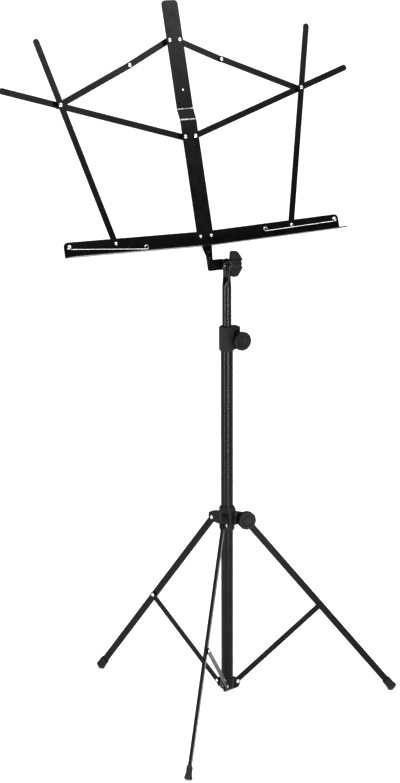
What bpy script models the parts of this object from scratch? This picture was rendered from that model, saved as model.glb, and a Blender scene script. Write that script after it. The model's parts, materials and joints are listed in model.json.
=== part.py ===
"""Folding sheet-music stand: tripod base, telescoping mast and fold-out desk.

Run with: blender --background --python part.py
Units are metres, +Z is up, the reader stands on the -Y side and the floor is z = 0.
Every sub-part is its own object, in its rest place with the stand open.
"""

import math

import bmesh
import bpy
from mathutils import Matrix, Vector

MM = 0.001
GAP = 0.3 * MM

# The mast's own frame lies here: the open stand is centred, and its feet reach the floor.
MAST_X = 23.98 * MM
MAST_Y = -32.48 * MM
MAST_Z = 3.5 * MM

# ---- Mast -------------------------------------------------------------------
OUTER_TUBE_RADIUS = 10.0 * MM
OUTER_TUBE_BORE = 8.8 * MM
OUTER_TUBE_BOTTOM = 38.0 * MM
OUTER_TUBE_TOP = 655.0 * MM
INNER_TUBE_RADIUS = 7.5 * MM
INNER_TUBE_BORE = 6.5 * MM
INNER_TUBE_BOTTOM = 292.0 * MM
TILT_AXIS_Z = 762.0 * MM
FLAT_HALF_THICKNESS = 2.5 * MM
FLAT_HALF_WIDTH = 10.2 * MM
FLAT_STARTS_BELOW = 17.0 * MM
ROUND_ENDS_BELOW = 36.0 * MM
BOLT_RADIUS = 3.0 * MM

# ---- Tripod -----------------------------------------------------------------
LEG_AZIMUTHS = [math.radians(a) for a in (-12.5, 107.5, 227.5)]
LEG_PIVOT_RADIUS = 30.0 * MM
LEG_PIVOT_Z = 332.5 * MM
FOOT_RADIUS = 304.0 * MM
LEG_DEPTH = 11.2 * MM
LEG_WIDTH = 5.0 * MM
LEG_ABOVE_PIVOT = 4.9 * MM
LEG_WALL = 1.2 * MM
LEG_STOPS_SHORT = 10.0 * MM
FOOT_STOPS_SHORT = 4.6 * MM
BRACE_ON_LEG = 0.5005
HUB_PIVOT_RADIUS = 18.5 * MM
HUB_PIVOT_Z = 46.6 * MM
BRACE_WIDTH = 9.4 * MM
BRACE_THICKNESS = 2.0 * MM
LEG_PLAY = 0.4 * MM
BRACE_OFFSET = LEG_WIDTH / 2 + LEG_PLAY
COLLAR_RADIUS = 12.6 * MM
COLLAR_BOTTOM = 315.0 * MM
COLLAR_TOP = 358.0 * MM
CHEEK_THICKNESS = 2.6 * MM
HUB_RADIUS = 11.5 * MM
HUB_BOTTOM = 30.5 * MM
HUB_TIP_RADIUS = 2.5 * MM
HUB_TOP = 56.0 * MM

# ---- Height clamp -----------------------------------------------------------
CLAMP_HALF_WIDTH = 12.0 * MM
CLAMP_BOTTOM = 620.0 * MM
CLAMP_TOP = 661.0 * MM
CLAMP_SCREW_X = 18.6 * MM
CLAMP_SCREW_Z = 637.0 * MM
SCREW_RADIUS = 2.5 * MM

# ---- Desk, in its own plane --------------------------------------------------
# u runs across, v runs up from the tray pivots, n points at the reader.
DESK_TILT = math.radians(16.5)
DESK_OFFSET_U = -27.2 * MM
DESK_OFFSET_V = 49.5 * MM
DESK_OFFSET_N = -7.5 * MM
SPINE_WIDTH = 29.5 * MM
SPINE_TOP_V = 384.5 * MM
TONGUE_END_V = -46.0 * MM
JOGGLE_LOW_V = 190.0 * MM
JOGGLE_HIGH_V = 208.0 * MM
JOGGLE = 5.0 * MM
BAR_WIDTH = 10.0 * MM
BAR_THICKNESS = 2.0 * MM

PIVOT_A = Vector((9.8, 0.0)) * MM
PIVOT_D = Vector((9.3, 162.7)) * MM
PIVOT_F = Vector((9.3, 320.3)) * MM
TRAY_SLOPE = math.radians(1.2)
TRAY_TO_UPRIGHT = 153.2 * MM
TRAY_TO_WIRE = 235.6 * MM
UPRIGHT_TO_CROSSING = 232.6 * MM
UPRIGHT_LENGTH = 336.5 * MM
DIAGONAL_TO_CROSSING = 222.7 * MM
DIAGONAL_LENGTH = 320.5 * MM
INNER_LINK = 83.3 * MM
OUTER_LINK = 148.7 * MM

TRAY_INNER_END = 9.6 * MM
TRAY_OUTER_END = 244.5 * MM
TRAY_TOP = 8.4 * MM
TRAY_BOTTOM = -15.0 * MM
TRAY_SHEET = 1.4 * MM
SHELF_DEPTH = 31.0 * MM

# Front faces of the flat layers, along n from the middle of the spine sheet.
SPINE_FRONT = 1.0 * MM
TRAY_BACK = 1.4 * MM
UPRIGHT_FRONT = 1.0 * MM
DIAGONAL_FRONT = -6.4 * MM
OUTER_LINK_FRONT = -10.0 * MM
INNER_LINK_FRONT = -12.4 * MM
BRACKET_FRONT = -1.4 * MM
BRACKET_SHEET = 2.5 * MM
BRACKET_RIVETS_V = (-24.0 * MM, -34.0 * MM)
TONGUE_U = 2.2 * MM

RIVET_SHANK = 1.6 * MM
RIVET_HOLE = RIVET_SHANK + GAP
RIVET_HEAD = 3.3 * MM
HEAD_HEIGHT = 1.3 * MM
TAIL_HEIGHT = 0.9 * MM

WIRE_RADIUS = 0.9 * MM
WIRE_EYE = 3.1 * MM
WIRE_LENGTH = 134.0 * MM
WIRE_N = 4.5 * MM


# ---- Scene, collections and materials -----------------------------------------
def clear_scene():
    for obj in list(bpy.data.objects):
        bpy.data.objects.remove(obj, do_unlink=True)


def new_collection(name, hidden=False):
    made = bpy.data.collections.new(name)
    made.hide_render = hidden
    bpy.context.scene.collection.children.link(made)
    return made


def new_material(name, colour, metallic, roughness):
    made = bpy.data.materials.new(name)
    made.use_nodes = True
    shader = made.node_tree.nodes["Principled BSDF"]
    shader.inputs["Base Color"].default_value = (*colour, 1.0)
    shader.inputs["Metallic"].default_value = metallic
    shader.inputs["Roughness"].default_value = roughness
    made.diffuse_color = (*colour, 1.0)
    return made


def coloured_like(name, pattern):
    """Each part has a material of its own, named after the part."""
    colour, metallic, roughness = pattern
    return new_material(name + "_finish", colour, metallic, roughness)


clear_scene()
STAND = new_collection("music_stand")
CUTTERS = new_collection("cutters", hidden=True)
MAST = bpy.data.objects.new("mast_axis", None)
MAST.location = (MAST_X, MAST_Y, MAST_Z)
STAND.objects.link(MAST)

PAINTED_STEEL = ((0.012, 0.012, 0.013), 0.0, 0.28)
NICKEL = ((0.75, 0.75, 0.74), 1.0, 0.22)
WIRE_STEEL = ((0.55, 0.55, 0.55), 1.0, 0.3)
PLASTIC = ((0.02, 0.02, 0.021), 0.0, 0.45)
RUBBER = ((0.014, 0.014, 0.014), 0.0, 0.7)
ZINC = ((0.45, 0.45, 0.46), 1.0, 0.35)


# ---- Frames -----------------------------------------------------------------------
def matrix_at(x, y, z):
    return Matrix.Translation((x, y, z))


def frame(origin, x_axis, y_axis, z_axis):
    turned = Matrix((x_axis, y_axis, z_axis)).transposed()
    return Matrix.Translation(origin) @ turned.to_4x4()


def outward(azimuth):
    return Vector((math.cos(azimuth), math.sin(azimuth), 0.0))


def sideways(azimuth):
    return Vector((-math.sin(azimuth), math.cos(azimuth), 0.0))


UP = Vector((0.0, 0.0, 1.0))
TILT_MATRIX = frame((0, 0, TILT_AXIS_Z), Vector((0, 1, 0)), UP, Vector((1, 0, 0)))
CLAMP_SCREW = frame((CLAMP_SCREW_X, 0, CLAMP_SCREW_Z), Vector((1, 0, 0)), UP, Vector((0, -1, 0)))
LEG_LEAN = math.atan2(FOOT_RADIUS - LEG_PIVOT_RADIUS, LEG_PIVOT_Z + MAST_Z)
LEG_REACH = math.hypot(FOOT_RADIUS - LEG_PIVOT_RADIUS, LEG_PIVOT_Z + MAST_Z)


def radial_plane(azimuth):
    """A frame on the mast axis: local X outward, local Y up, local Z across the leg."""
    return frame((0, 0, 0), outward(azimuth), UP, -sideways(azimuth))


COLLAR_SCREW = radial_plane(LEG_AZIMUTHS[0]) @ matrix_at(LEG_PIVOT_RADIUS, LEG_PIVOT_Z, 0)


# ---- Helpers: a piece with no other parent is placed from the mast axis ----------
def add_empty(name, matrix, parent=None):
    obj = bpy.data.objects.new(name, None)
    obj.empty_display_size = 20 * MM
    STAND.objects.link(obj)
    obj.parent = parent or MAST
    obj.matrix_local = matrix
    return obj


def add_part(name, mesh, finish, matrix=None, parent=None):
    obj = bpy.data.objects.new(name, mesh)
    mesh.materials.clear()
    mesh.materials.append(coloured_like(name, finish))
    STAND.objects.link(obj)
    obj.parent = parent or MAST
    obj.matrix_local = matrix or Matrix.Identity(4)
    return obj


def add_cutter(name, mesh, matrix=None, parent=None):
    obj = bpy.data.objects.new(name, mesh)
    obj.hide_render = True
    obj.display_type = "WIRE"
    CUTTERS.objects.link(obj)
    obj.parent = parent or MAST
    obj.matrix_local = matrix or Matrix.Identity(4)
    return obj


def combine(obj, other, operation):
    modifier = obj.modifiers.new(operation.lower() + "_" + other.name, "BOOLEAN")
    modifier.operation = operation
    modifier.solver = "EXACT"
    modifier.object = other


def mesh_from_bmesh(name, bm):
    bmesh.ops.recalc_face_normals(bm, faces=bm.faces[:])
    mesh = bpy.data.meshes.new(name)
    bm.to_mesh(mesh)
    bm.free()
    return mesh


def box_mesh(name, low, high):
    bm = bmesh.new()
    bmesh.ops.create_cube(bm, size=1.0)
    for vert in bm.verts:
        for axis in range(3):
            vert.co[axis] = high[axis] if vert.co[axis] > 0 else low[axis]
    return mesh_from_bmesh(name, bm)


def rod_mesh(name, radius, low, high, segments=24):
    """A closed cylinder along local Z, from low to high."""
    bm = bmesh.new()
    middle = Matrix.Translation((0, 0, (low + high) / 2))
    sizes = {"radius1": radius, "radius2": radius, "depth": high - low}
    bmesh.ops.create_cone(bm, cap_ends=True, segments=segments, matrix=middle, **sizes)
    return mesh_from_bmesh(name, bm)


def arc(centre, radius, start, end, count):
    """Points on an arc, angles in degrees, both ends included."""
    angles = [math.radians(start + (end - start) * i / (count - 1)) for i in range(count)]
    return [(centre[0] + radius * math.cos(a), centre[1] + radius * math.sin(a)) for a in angles]


def circle(centre, radius, count=16, start=0.0):
    return arc(centre, radius, start, start + 360.0 - 360.0 / count, count)


def slot(length, width, count=9):
    """A strip from (0, 0) to (length, 0) with half-round ends."""
    radius = width / 2
    return arc((length, 0.0), radius, -90.0, 90.0, count) + arc((0.0, 0.0), radius, 90.0, 270.0, count)


def sheet_mesh(name, outlines, low, high):
    """A flat plate in local XY with its holes, between two heights along local Z."""
    curve = bpy.data.curves.new(name, "CURVE")
    curve.dimensions = "2D"
    curve.fill_mode = "BOTH"
    curve.extrude = (high - low) / 2
    for outline in outlines:
        spline = curve.splines.new("POLY")
        spline.points.add(len(outline) - 1)
        for point, (x, y) in zip(spline.points, outline):
            point.co = (x, y, 0.0, 1.0)
        spline.use_cyclic_u = True
    return mesh_from_curve(name, curve, (low + high) / 2)


def mesh_from_curve(name, curve, lift=0.0):
    guide = bpy.data.objects.new(name + "_guide", curve)
    bpy.context.scene.collection.objects.link(guide)
    graph = bpy.context.evaluated_depsgraph_get()
    mesh = bpy.data.meshes.new_from_object(guide.evaluated_get(graph))
    bpy.data.objects.remove(guide, do_unlink=True)
    bpy.data.curves.remove(curve)
    bm = bmesh.new()
    bm.from_mesh(mesh)
    bmesh.ops.remove_doubles(bm, verts=bm.verts[:], dist=1e-6)
    bmesh.ops.translate(bm, verts=bm.verts[:], vec=(0.0, 0.0, lift))
    bpy.data.meshes.remove(mesh)
    return mesh_from_bmesh(name, bm)


def profile_mesh(name, points, closed):
    mesh = bpy.data.meshes.new(name)
    edges = [(i, i + 1) for i in range(len(points) - 1)]
    if closed:
        edges.append((len(points) - 1, 0))
    mesh.from_pydata([(r, 0.0, z) for r, z in points], edges, [])
    return mesh


def spin(obj, steps):
    modifier = obj.modifiers.new("turned", "SCREW")
    modifier.axis = "Z"
    modifier.steps = steps
    modifier.render_steps = steps
    modifier.use_merge_vertices = True
    modifier.merge_threshold = 0.00001
    modifier.use_smooth_shade = False


def add_turned(name, points, finish, matrix=None, parent=None, steps=20, closed=False):
    """A turned piece: the profile (radius, height) runs from the top down on the outside."""
    obj = add_part(name, profile_mesh(name, points, closed), finish, matrix, parent)
    spin(obj, steps)
    return obj


def loft_mesh(name, loops):
    """Rings of equally many points joined into a skin with flat ends."""
    bm = bmesh.new()
    rings = [[bm.verts.new(point) for point in loop] for loop in loops]
    for low, high in zip(rings, rings[1:]):
        for i in range(len(low)):
            j = (i + 1) % len(low)
            bm.faces.new((low[i], low[j], high[j], high[i]))
    bm.faces.new(rings[0][::-1])
    bm.faces.new(rings[-1])
    return mesh_from_bmesh(name, bm)


def lobed_ring(radius, height, lobes, wave, count=72):
    ring = []
    for i in range(count):
        angle = 2 * math.pi * i / count
        reach = radius * (1 + wave * (math.cos(lobes * angle) - 1))
        ring.append((reach * math.cos(angle), reach * math.sin(angle), height))
    return ring


def rivet_profile(head_seat, tail_seat, collars=()):
    """A domed head above head_seat, a shank with wider collars, and a flat tail below tail_seat."""
    points = [
        (0.0, head_seat + HEAD_HEIGHT),
        (1.5 * MM, head_seat + 1.15 * MM),
        (2.6 * MM, head_seat + 0.7 * MM),
        (RIVET_HEAD, head_seat),
        (RIVET_SHANK, head_seat),
    ]
    for top, bottom, radius in collars:
        points += [(RIVET_SHANK, top), (radius, top), (radius, bottom), (RIVET_SHANK, bottom)]
    points += [
        (RIVET_SHANK, tail_seat),
        (2.7 * MM, tail_seat),
        (2.4 * MM, tail_seat - TAIL_HEIGHT),
        (0.0, tail_seat - TAIL_HEIGHT),
    ]
    return points


def add_rivet(name, head_seat, tail_seat, matrix, parent, collars=()):
    points = rivet_profile(head_seat, tail_seat, collars)
    return add_turned(name, points, NICKEL, matrix, parent, steps=16)


# ---- Mast parts ------------------------------------------------------------------
def build_outer_tube():
    points = [
        (OUTER_TUBE_RADIUS, OUTER_TUBE_TOP),
        (OUTER_TUBE_RADIUS, OUTER_TUBE_BOTTOM),
        (OUTER_TUBE_BORE, OUTER_TUBE_BOTTOM),
        (OUTER_TUBE_BORE, OUTER_TUBE_TOP),
    ]
    add_turned("outer_tube", points, PAINTED_STEEL, steps=40, closed=True)


def flattened_section(height, count=32):
    """Half sizes across X and along Y of the inner tube at a height from the tilt axis."""
    blend = min(1.0, max(0.0, (height + ROUND_ENDS_BELOW) / (ROUND_ENDS_BELOW - FLAT_STARTS_BELOW)))
    blend = blend * blend * (3 - 2 * blend)
    half_x = INNER_TUBE_RADIUS + (FLAT_HALF_THICKNESS - INNER_TUBE_RADIUS) * blend
    half_y = INNER_TUBE_RADIUS + (FLAT_HALF_WIDTH - INNER_TUBE_RADIUS) * blend
    power = 1.0 - 0.55 * blend
    if height > 0:
        half_y = math.sqrt(max(FLAT_HALF_WIDTH**2 - height**2, 0.0))
    ring = []
    for i in range(count):
        angle = 2 * math.pi * (i + 0.5) / count
        c = math.cos(angle)
        s = math.sin(angle)
        x = half_x * math.copysign(abs(c) ** power, c)
        y = half_y * math.copysign(abs(s) ** (1.0 - 0.25 * blend), s)
        ring.append((x, y))
    return ring


def build_inner_tube():
    heights = [INNER_TUBE_BOTTOM - TILT_AXIS_Z, -ROUND_ENDS_BELOW]
    heights += [-ROUND_ENDS_BELOW + (ROUND_ENDS_BELOW - FLAT_STARTS_BELOW) * i / 6 for i in range(1, 7)]
    heights += [0.0]
    heights += [FLAT_HALF_WIDTH * math.sin(math.radians(a)) for a in (20, 38, 54, 68, 79)]
    loops = [[(x, y, h) for x, y in flattened_section(h)] for h in heights]
    place = matrix_at(0, 0, TILT_AXIS_Z)
    tube = add_part("inner_tube", loft_mesh("inner_tube", loops), PAINTED_STEEL, place)
    below = INNER_TUBE_BOTTOM - TILT_AXIS_Z - 5 * MM
    bore = rod_mesh("inner_tube_bore", INNER_TUBE_BORE, below, -ROUND_ENDS_BELOW - 3 * MM, 32)
    combine(tube, add_cutter("inner_tube_bore", bore, place), "DIFFERENCE")
    hole = rod_mesh("inner_tube_bolt_hole", BOLT_RADIUS + GAP, -10 * MM, 10 * MM)
    combine(tube, add_cutter("inner_tube_bolt_hole", hole, TILT_MATRIX), "DIFFERENCE")


def build_guide_bush():
    """The plastic plug under the inner tube: it slides in the outer tube and the tube turns on it."""
    seat = INNER_TUBE_BOTTOM - GAP
    points = [
        (0.0, seat + 12 * MM),
        (INNER_TUBE_BORE - 1.2 * MM, seat + 12 * MM),
        (INNER_TUBE_BORE - GAP, seat + 10 * MM),
        (INNER_TUBE_BORE - GAP, seat),
        (OUTER_TUBE_BORE - GAP, seat),
        (OUTER_TUBE_BORE - GAP, seat - 13 * MM),
        (OUTER_TUBE_BORE - 1.5 * MM, seat - 15 * MM),
        (0.0, seat - 15 * MM),
    ]
    add_turned("guide_bush", points, PLASTIC, steps=28)


def octagon(half_width, height):
    points = circle((0.0, 0.0), half_width / math.cos(math.radians(22.5)), 8, 22.5)
    return [(x, y, height) for x, y in points]


def build_clamp_collar():
    """The eight-sided collar on top of the outer tube, with the lug its screw pulls shut."""
    wide = CLAMP_HALF_WIDTH
    rings = [
        octagon(wide - 1.3 * MM, CLAMP_BOTTOM),
        octagon(wide, CLAMP_BOTTOM + 4 * MM),
        octagon(wide, CLAMP_TOP - 1.3 * MM),
        octagon(wide - 1.3 * MM, CLAMP_TOP),
    ]
    collar = add_part("clamp_collar", loft_mesh("clamp_collar", rings), PLASTIC)
    root = wide - 2.6 * MM
    nose = arc((CLAMP_SCREW_X, 0.0), 5.6 * MM, -60.0, 60.0, 9)
    outline = [(root, -15 * MM), (18.5 * MM, -15 * MM), (21.5 * MM, -13 * MM)] + nose
    outline += [(21.3 * MM, 16 * MM), (21.3 * MM, 21 * MM), (20 * MM, 22.5 * MM), (root, 23 * MM)]
    lug = sheet_mesh("clamp_lug", [outline], -6.5 * MM, 6.5 * MM)
    facing = Matrix.Translation((0, 0, CLAMP_SCREW_Z)) @ Matrix.Rotation(math.radians(90), 4, "X")
    combine(collar, add_cutter("clamp_lug", lug, facing), "UNION")
    lip = OUTER_TUBE_TOP + GAP
    bore = rod_mesh("clamp_bore", OUTER_TUBE_RADIUS + GAP, CLAMP_BOTTOM - MM, lip, 36)
    combine(collar, add_cutter("clamp_bore", bore), "DIFFERENCE")
    mouth = rod_mesh("clamp_mouth", INNER_TUBE_RADIUS + GAP, lip - MM, CLAMP_TOP + MM, 36)
    combine(collar, add_cutter("clamp_mouth", mouth), "DIFFERENCE")
    low = (9.9 * MM, -0.9 * MM, CLAMP_BOTTOM - MM)
    high = (40 * MM, 0.9 * MM, CLAMP_SCREW_Z + 11 * MM)
    split = box_mesh("clamp_split", low, high)
    combine(collar, add_cutter("clamp_split", split), "DIFFERENCE")
    hole = rod_mesh("clamp_screw_hole", SCREW_RADIUS + GAP, -20 * MM, 20 * MM)
    combine(collar, add_cutter("clamp_screw_hole", hole, CLAMP_SCREW), "DIFFERENCE")


def add_clamp_knob(name, matrix, seat, neck, screw_reach):
    """A finely lobed hand knob on a neck, moulded on its screw; local Z points out of its face."""
    back = seat + neck
    profile = [
        (5.0 * MM, seat),
        (5.0 * MM, back),
        (13.8 * MM, back),
        (15.3 * MM, back + 1.4 * MM),
        (15.5 * MM, back + 7.7 * MM),
        (14.2 * MM, back + 9.7 * MM),
        (10.0 * MM, back + 9.7 * MM),
        (9.0 * MM, back + 8.7 * MM),
    ]
    rings = [lobed_ring(radius, height, 12, 0.012) for radius, height in profile]
    knob = add_part(name, loft_mesh(name, rings), PLASTIC, matrix)
    screw = rod_mesh(name + "_screw", SCREW_RADIUS, -screw_reach, seat + 4 * MM, 16)
    combine(knob, add_cutter(name + "_screw", screw, matrix), "UNION")


# ---- Tripod parts -----------------------------------------------------------------
def leg_frame(azimuth):
    """A frame on the leg's pivot: local X down the leg, local Y across, local Z to its outer side."""
    out = outward(azimuth)
    along = out * math.sin(LEG_LEAN) - UP * math.cos(LEG_LEAN)
    origin = out * LEG_PIVOT_RADIUS + UP * LEG_PIVOT_Z
    return frame(origin, along, sideways(azimuth), UP * math.sin(LEG_LEAN) + out * math.cos(LEG_LEAN))


def turn_across(matrix, along):
    """A frame at a distance along a leg, with its local Z across the leg."""
    return matrix @ Matrix.Translation((along, 0, 0)) @ Matrix.Rotation(math.radians(-90), 4, "X")


def brace_points():
    along = LEG_REACH * BRACE_ON_LEG
    top = Vector((LEG_PIVOT_RADIUS + along * math.sin(LEG_LEAN), LEG_PIVOT_Z - along * math.cos(LEG_LEAN)))
    return top, Vector((HUB_PIVOT_RADIUS, HUB_PIVOT_Z))


def build_leg_collar():
    bore = OUTER_TUBE_RADIUS + GAP
    points = [
        (bore, COLLAR_TOP),
        (COLLAR_RADIUS - 1.8 * MM, COLLAR_TOP),
        (COLLAR_RADIUS, COLLAR_TOP - 3 * MM),
        (COLLAR_RADIUS, COLLAR_BOTTOM + 3 * MM),
        (COLLAR_RADIUS - 1.8 * MM, COLLAR_BOTTOM),
        (bore, COLLAR_BOTTOM),
    ]
    collar = add_turned("leg_collar", points, PLASTIC, steps=36, closed=True)
    for number, azimuth in enumerate(LEG_AZIMUTHS, 1):
        add_lug(collar, number, azimuth)


def add_lug(collar, number, azimuth):
    """A closed-topped lug with a slot for the leg. The screw of the first one is its hinge pin."""
    at = (LEG_PIVOT_RADIUS, LEG_PIVOT_Z)
    root = COLLAR_RADIUS - 1.2 * MM
    half = LEG_WIDTH / 2 + LEG_PLAY
    nose = arc(at, 6.5 * MM, -90.0, -10.0, 6)
    nose += arc((at[0] + 4 * MM, at[1] + 6 * MM), 2.4 * MM, 0.0, 80.0, 5)
    outline = [(root, at[1] - 8.5 * MM)] + nose + [(root, at[1] + 13.5 * MM)]
    wide = half + CHEEK_THICKNESS
    lug = sheet_mesh(f"collar_lug_{number}", [outline], -wide, wide)
    combine(collar, add_cutter(f"collar_lug_{number}", lug, radial_plane(azimuth)), "UNION")
    inner = at[0] - 9 * MM
    upper = math.pi / 2 - LEG_LEAN
    ceiling = arc(at, 7.9 * MM, 150.0, math.degrees(upper), 9)
    far = 30 * MM
    below = at[1] - far
    along = (ceiling[-1][0] + far * math.sin(LEG_LEAN), ceiling[-1][1] - far * math.cos(LEG_LEAN))
    opening = [(inner, below), (inner, at[1])] + ceiling + [along, (along[0], below)]
    name = f"collar_slot_{number}"
    slot_cut = sheet_mesh(name, [opening], -half, half)
    combine(collar, add_cutter(name, slot_cut, radial_plane(azimuth)), "DIFFERENCE")
    radius = SCREW_RADIUS + GAP if number == 1 else RIVET_HOLE
    hole = rod_mesh(f"collar_hole_{number}", radius, -20 * MM, 20 * MM)
    place = radial_plane(azimuth) @ matrix_at(*at, 0)
    combine(collar, add_cutter(f"collar_hole_{number}", hole, place), "DIFFERENCE")


def build_lower_hub():
    """The pointed cup under the outer tube, with three lugs that slope down to its tip."""
    bore = OUTER_TUBE_RADIUS + GAP
    floor = OUTER_TUBE_BOTTOM - GAP
    points = [
        (bore, HUB_TOP),
        (HUB_RADIUS - 0.6 * MM, HUB_TOP),
        (HUB_RADIUS, HUB_TOP - 1 * MM),
        (HUB_RADIUS, floor),
        (HUB_TIP_RADIUS, HUB_BOTTOM),
        (0.0, HUB_BOTTOM),
        (0.0, floor),
        (bore, floor),
    ]
    hub = add_turned("lower_hub", points, PAINTED_STEEL, steps=36, closed=True)
    root = bore + 0.6 * MM
    low = [(1.5, 31.2), (6.8, 33.0), (19.2, 36.6), (20.9, 39.5)]
    outline = [(r * MM, z * MM) for r, z in low]
    outline += arc((HUB_PIVOT_RADIUS, HUB_PIVOT_Z), 4.4 * MM, -30.0, 60.0, 7)
    outline += [(13.5 * MM, 54.6 * MM), (root, 54.6 * MM), (root, floor), (1.5 * MM, floor - MM)]
    holes = [circle((HUB_PIVOT_RADIUS, HUB_PIVOT_Z), RIVET_HOLE)]
    for number, azimuth in enumerate(LEG_AZIMUTHS, 1):
        name = f"hub_lug_{number}"
        lug = sheet_mesh(name, [outline] + holes, -LEG_WIDTH / 2, LEG_WIDTH / 2)
        combine(hub, add_cutter(name, lug, radial_plane(azimuth)), "UNION")


def leg_section():
    """The open channel of a leg: the web is on the outer side."""
    half_y = LEG_WIDTH / 2
    half_z = LEG_DEPTH / 2
    inner = half_y - LEG_WALL
    return [
        (-half_y, -half_z),
        (-inner, -half_z),
        (-inner, half_z - LEG_WALL),
        (inner, half_z - LEG_WALL),
        (inner, -half_z),
        (half_y, -half_z),
        (half_y, half_z - 1.0 * MM),
        (half_y - 1.0 * MM, half_z),
        (-half_y + 1.0 * MM, half_z),
        (-half_y, half_z - 1.0 * MM),
    ]


def build_leg(number, azimuth):
    pivot = leg_frame(azimuth)
    axis = add_empty(f"leg_axis_{number}", pivot)
    end = LEG_REACH - LEG_STOPS_SHORT
    along_leg = frame((0, 0, 0), Vector((0, 1, 0)), Vector((0, 0, 1)), Vector((1, 0, 0)))
    mesh = sheet_mesh(f"leg_{number}", [leg_section()], -LEG_ABOVE_PIVOT, end)
    mesh.transform(along_leg)
    leg = add_part(f"leg_{number}", mesh, PAINTED_STEEL, parent=axis)
    radius = SCREW_RADIUS + GAP if number == 1 else RIVET_HOLE
    hole = rod_mesh(f"leg_hole_{number}", radius, -6 * MM, 6 * MM, 16)
    combine(leg, add_cutter(f"leg_hole_{number}", hole, turn_across(pivot, 0.0)), "DIFFERENCE")
    build_foot(number, axis, pivot)
    wall = LEG_WIDTH / 2 + LEG_PLAY + CHEEK_THICKNESS
    if number > 1:
        add_rivet(f"leg_pin_{number}", wall, -wall, turn_across(pivot, 0.0), None)


def foot_ring(along, half_width, half_depth, square, count=28):
    """A ring round the leg's line, from an oval (square = 0) towards a rectangle (square = 1)."""
    ring = []
    for i in range(count):
        angle = 2 * math.pi * (i + 0.5) / count
        c = math.cos(angle)
        s = math.sin(angle)
        power = 1.0 - 0.65 * square
        y = half_width * math.copysign(abs(c) ** power, c)
        z = half_depth * math.copysign(abs(s) ** power, s)
        ring.append((along, y, z))
    return ring


def build_foot(number, axis, pivot):
    """A rubber cap: a sleeve on the leg's end and a flange, worn flat where it meets the floor."""
    sections = [
        (-20.5, 3.9, 6.8, 1.0),
        (-19.4, 4.2, 7.1, 1.0),
        (-9.5, 4.3, 7.2, 0.9),
        (-6.2, 4.9, 7.5, 0.6),
        (-3.8, 6.1, 8.0, 0.2),
        (-2.6, 6.4, 8.2, 0.1),
        (-0.8, 6.4, 8.2, 0.1),
        (0.0, 5.8, 7.6, 0.1),
    ]
    end = LEG_REACH - FOOT_STOPS_SHORT
    rings = [foot_ring(end + a * MM, y * MM, z * MM, square) for a, y, z, square in sections]
    foot = add_part(f"foot_{number}", loft_mesh(f"foot_{number}", rings), RUBBER, parent=axis)
    half_y = LEG_WIDTH / 2 + GAP
    half_z = LEG_DEPTH / 2 + GAP
    start = LEG_REACH - LEG_STOPS_SHORT + GAP
    low = (start - 25 * MM, -half_y, -half_z)
    pocket = box_mesh(f"foot_pocket_{number}", low, (start, half_y, half_z))
    combine(foot, add_cutter(f"foot_pocket_{number}", pocket, pivot), "DIFFERENCE")
    reach = 30 * MM
    floor = box_mesh(f"floor_{number}", (-reach, -reach, -reach), (reach, reach, 0.0))
    at_foot = outward(LEG_AZIMUTHS[number - 1]) * FOOT_RADIUS - UP * MAST_Z
    combine(foot, add_cutter(f"floor_{number}", floor, Matrix.Translation(at_foot)), "DIFFERENCE")


def build_brace(number, azimuth):
    top, low = brace_points()
    length = (top - low).length
    lift = math.atan2(top.y - low.y, top.x - low.x)
    plane = radial_plane(azimuth)
    pivot = plane @ matrix_at(low.x, low.y, 0) @ Matrix.Rotation(lift, 4, "Z")
    outline = slot(length, BRACE_WIDTH)
    holes = [circle((0.0, 0.0), RIVET_HOLE), circle((length, 0.0), RIVET_HOLE)]
    front = -BRACE_OFFSET
    back = -BRACE_OFFSET - BRACE_THICKNESS
    mesh = sheet_mesh(f"brace_{number}", [outline] + holes, back, front)
    add_part(f"brace_{number}", mesh, PAINTED_STEEL, pivot)
    add_rivet(f"hub_rivet_{number}", LEG_WIDTH / 2, back, pivot, None)
    end = pivot @ matrix_at(length, 0, 0) @ Matrix.Rotation(math.pi, 4, "X")
    points = [
        (0.0, -back + HEAD_HEIGHT),
        (1.5 * MM, -back + 1.15 * MM),
        (2.6 * MM, -back + 0.7 * MM),
        (RIVET_HEAD, -back),
        (RIVET_SHANK, -back),
        (RIVET_SHANK, -front),
        (0.0, -front),
    ]
    add_turned(f"brace_rivet_{number}", points, NICKEL, end, steps=16)


# ---- Desk parts --------------------------------------------------------------------
def tilt_axis_empty():
    """The desk's frame on the tilt axis: local X across, local Y up the desk, local Z to the reader."""
    lean = Matrix.Rotation(math.pi / 2 - DESK_TILT, 4, "X")
    return add_empty("desk_tilt_axis", Matrix.Translation((0, 0, TILT_AXIS_Z)) @ lean)


def on_desk(u, v, angle=0.0):
    place = Matrix.Translation((DESK_OFFSET_U + u, DESK_OFFSET_V + v, DESK_OFFSET_N))
    return place @ Matrix.Rotation(angle, 4, "Z")


def meeting_point(first, first_length, second, second_length, side):
    """Where two links from two points meet; side picks the point left or right of first to second."""
    span = second - first
    distance = span.length
    along = (first_length**2 - second_length**2 + distance**2) / (2 * distance)
    across = math.sqrt(max(first_length**2 - along**2, 0.0))
    forward = span / distance
    return first + forward * along + Vector((-forward.y, forward.x)) * across * side


def direction(start, end):
    return math.atan2(end.y - start.y, end.x - start.x)


PIVOT_B = PIVOT_A + Vector((math.cos(TRAY_SLOPE), math.sin(TRAY_SLOPE))) * TRAY_TO_UPRIGHT
PIVOT_C = meeting_point(PIVOT_D, DIAGONAL_TO_CROSSING, PIVOT_B, UPRIGHT_TO_CROSSING, 1)
PIVOT_E = meeting_point(PIVOT_F, INNER_LINK, PIVOT_C, OUTER_LINK, -1)


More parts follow.
